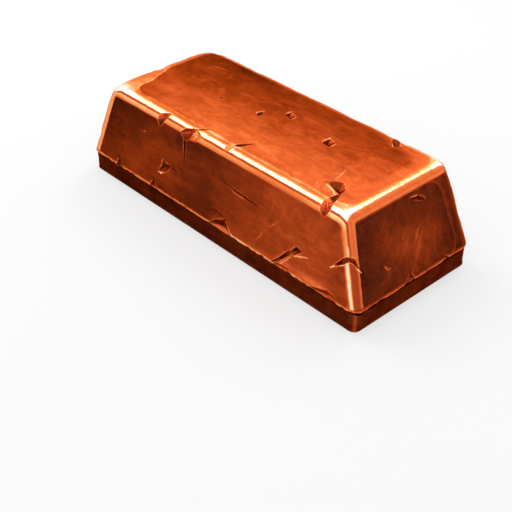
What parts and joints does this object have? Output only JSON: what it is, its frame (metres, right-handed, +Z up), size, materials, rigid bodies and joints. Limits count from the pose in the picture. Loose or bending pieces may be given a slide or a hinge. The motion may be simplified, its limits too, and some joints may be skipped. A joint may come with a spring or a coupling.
{
  "type": "copper ingot",
  "caption": "Cast copper ingot: long block with sides leaning in to a smaller flat top, rounded edges, a worn lip over a plain upright foot, and chipped edges.",
  "frame": {"origin": "middle of the flat base, on the surface that the ingot lies on", "axes": "+X along the ingot's length, towards the end that the picture shows; +Y across it, away from the long side that the picture shows; +Z up"},
  "size_m": [0.2496, 0.1028, 0.068],
  "materials": {
    "copper": "satin"
  },
  "bodies": {
    "root": {"ingot": "copper"}
  },
  "joints": []
}
